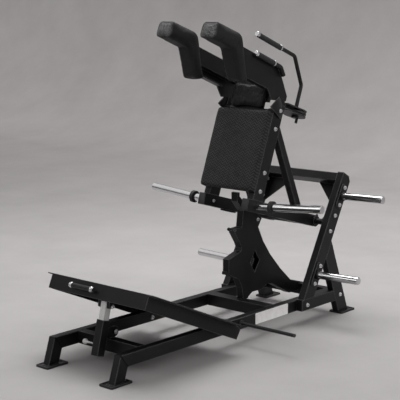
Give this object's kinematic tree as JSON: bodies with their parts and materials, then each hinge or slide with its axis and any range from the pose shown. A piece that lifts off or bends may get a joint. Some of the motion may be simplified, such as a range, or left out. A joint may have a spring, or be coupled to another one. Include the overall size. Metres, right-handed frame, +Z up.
{
  "type": "v-squat machine",
  "caption": "Plate-loaded lever squat machine: pivoting carriage with back, neck and shoulder pads, swing handles and weight horns, over a fixed base with a tilting footplate.",
  "frame": {"origin": "centre of the bounding box on the floor, midway between the front and rear foot plates", "axes": "+Z up, +X to the left of a person standing on the footplate with their back to the pad, +Y from the footplate to the rear uprights"},
  "size_m": [1.406, 2.262, 1.9464],
  "materials": {
    "frame_paint": "satin black powder coat",
    "chrome": "bright chrome plate",
    "bright_steel": "zinc-plated steel",
    "rubber": "black moulded rubber",
    "pad_leather": "black grained upholstery"
  },
  "bodies": {
    "frame": {"rail_left": "frame_paint", "rail_right": "frame_paint", "front_leg_left": "frame_paint", "front_leg_right": "frame_paint", "front_cross_member": "frame_paint", "middle_cross_member": "frame_paint", "rear_cross_member": "frame_paint", "upright_left": "frame_paint", "upright_right": "frame_paint", "rear_leg_left": "frame_paint", "rear_leg_right": "frame_paint", "side_beam_left": "frame_paint", "side_beam_right": "frame_paint", "top_crossbeam": "frame_paint", "pivot_shaft": "bright_steel", "upper_peg_left": "chrome", "upper_peg_right": "chrome", "lower_peg_left": "chrome", "lower_peg_right": "chrome", "centre_fin": "frame_paint", "fin_bumper": "rubber", "band_rod_left": "chrome", "band_rod_right": "chrome", "tray_pivot_left": "bright_steel", "tray_pivot_right": "bright_steel", "post_lug": "frame_paint"},
    "carriage": {"lever_arm_left": "frame_paint", "lever_arm_right": "frame_paint", "pivot_housing": "frame_paint", "weight_horn_left": "chrome", "weight_horn_right": "chrome", "horn_collar_left": "rubber", "horn_collar_right": "rubber", "back_upright_left": "frame_paint", "back_upright_right": "frame_paint", "brace_left": "frame_paint", "brace_right": "frame_paint", "back_cross_tube": "frame_paint", "back_pad": "pad_leather", "back_pad_board": "frame_paint", "neck_pad_board": "frame_paint", "neck_pad": "pad_leather", "yoke_left": "frame_paint", "yoke_right": "frame_paint", "shoulder_pad_left": "pad_leather", "shoulder_pad_right": "pad_leather", "handle_bracket_left": "frame_paint", "handle_bracket_right": "frame_paint", "side_grip_sleeve_left": "rubber", "side_grip_sleeve_right": "rubber"},
    "handle_left": {"swing_handle_left": "frame_paint", "handle_grip_left": "rubber"},
    "handle_right": {"swing_handle_right": "frame_paint", "handle_grip_right": "rubber"},
    "footplate": {"tray_deck": "frame_paint", "tray_frame": "frame_paint", "tray_grip": "rubber"},
    "post_sleeve": {"post_outer": "frame_paint"},
    "post_tube": {"post_inner": "bright_steel"},
    "lock_pin": {"pull_pin": "chrome"}
  },
  "joints": [
    {"name": "carriage_hinge", "type": "hinge", "parent": "frame", "child": "carriage", "pos_m": [0, 0.8813, 0.631], "axis": [1, 0, 0], "range_deg": [-8, 30]},
    {"name": "handle_swing_left", "type": "hinge", "parent": "carriage", "child": "handle_left", "pos_m": [0.177, 0.6762, 1.3781], "axis": [0, 0.3502, 0.9367], "range_deg": [0, 35]},
    {"name": "handle_swing_right", "type": "hinge", "parent": "carriage", "child": "handle_right", "pos_m": [-0.177, 0.6762, 1.3781], "axis": [0, -0.3502, -0.9367], "range_deg": [0, 35]},
    {"name": "tray_tilt", "type": "hinge", "parent": "frame", "child": "footplate", "pos_m": [0, -0.203, 0.127], "axis": [1, 0, 0], "range_deg": [-6, 6]},
    {"name": "post_hinge", "type": "hinge", "parent": "frame", "child": "post_sleeve", "pos_m": [0, -0.808, 0.2], "axis": [1, 0, 0], "range_deg": [-3, 3]},
    {"name": "post_slide", "type": "slide", "parent": "post_sleeve", "child": "post_tube", "axis": [0, 0.2538, 0.9673], "range_m": [-0.071, 0.071]},
    {"name": "pin_pull", "type": "slide", "parent": "post_sleeve", "child": "lock_pin", "axis": [-1, 0, 0], "range_m": [0, 0.012], "stiffness_N_per_m": 800}
  ],
  "couplings": [
    {"joint": "post_hinge", "follows": "tray_tilt", "ratio": 0.4},
    {"joint": "post_slide", "follows": "tray_tilt", "m_per_rad": -0.661}
  ]
}
